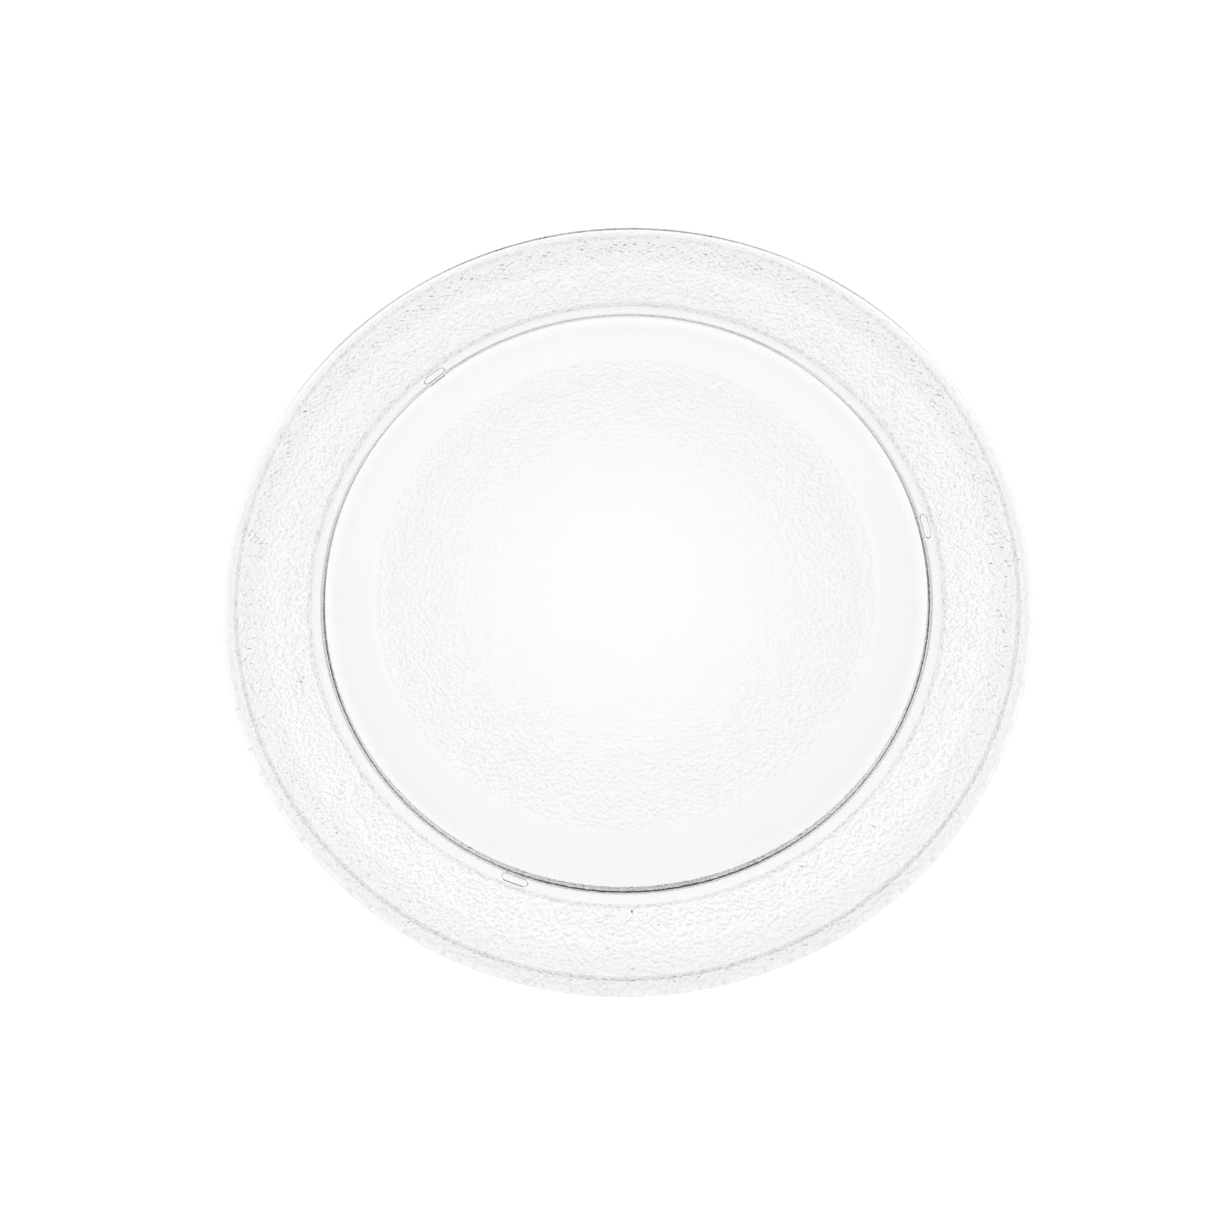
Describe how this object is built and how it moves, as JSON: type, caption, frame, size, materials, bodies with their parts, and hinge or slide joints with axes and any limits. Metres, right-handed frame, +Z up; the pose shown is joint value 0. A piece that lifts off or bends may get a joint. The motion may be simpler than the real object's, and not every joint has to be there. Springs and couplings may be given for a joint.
{
  "type": "microwave turntable plate",
  "caption": "Clear pressed-glass turntable plate with a shallow upturned rim, a stippled underside, and a bead with small pads that keeps it on a roller ring",
  "frame": {"origin": "On the surface the plate stands on, under the middle of the plate", "axes": "+Z is up along the plate's axis, -Y is the side nearest the camera, +X is to the right"},
  "size_m": [0.245, 0.245, 0.0135],
  "materials": {
    "clear_glass": "clear pressed glass, smooth on top, stippled under the middle and under the rim"
  },
  "bodies": {
    "root": {"glass_plate": "clear_glass"}
  },
  "joints": []
}
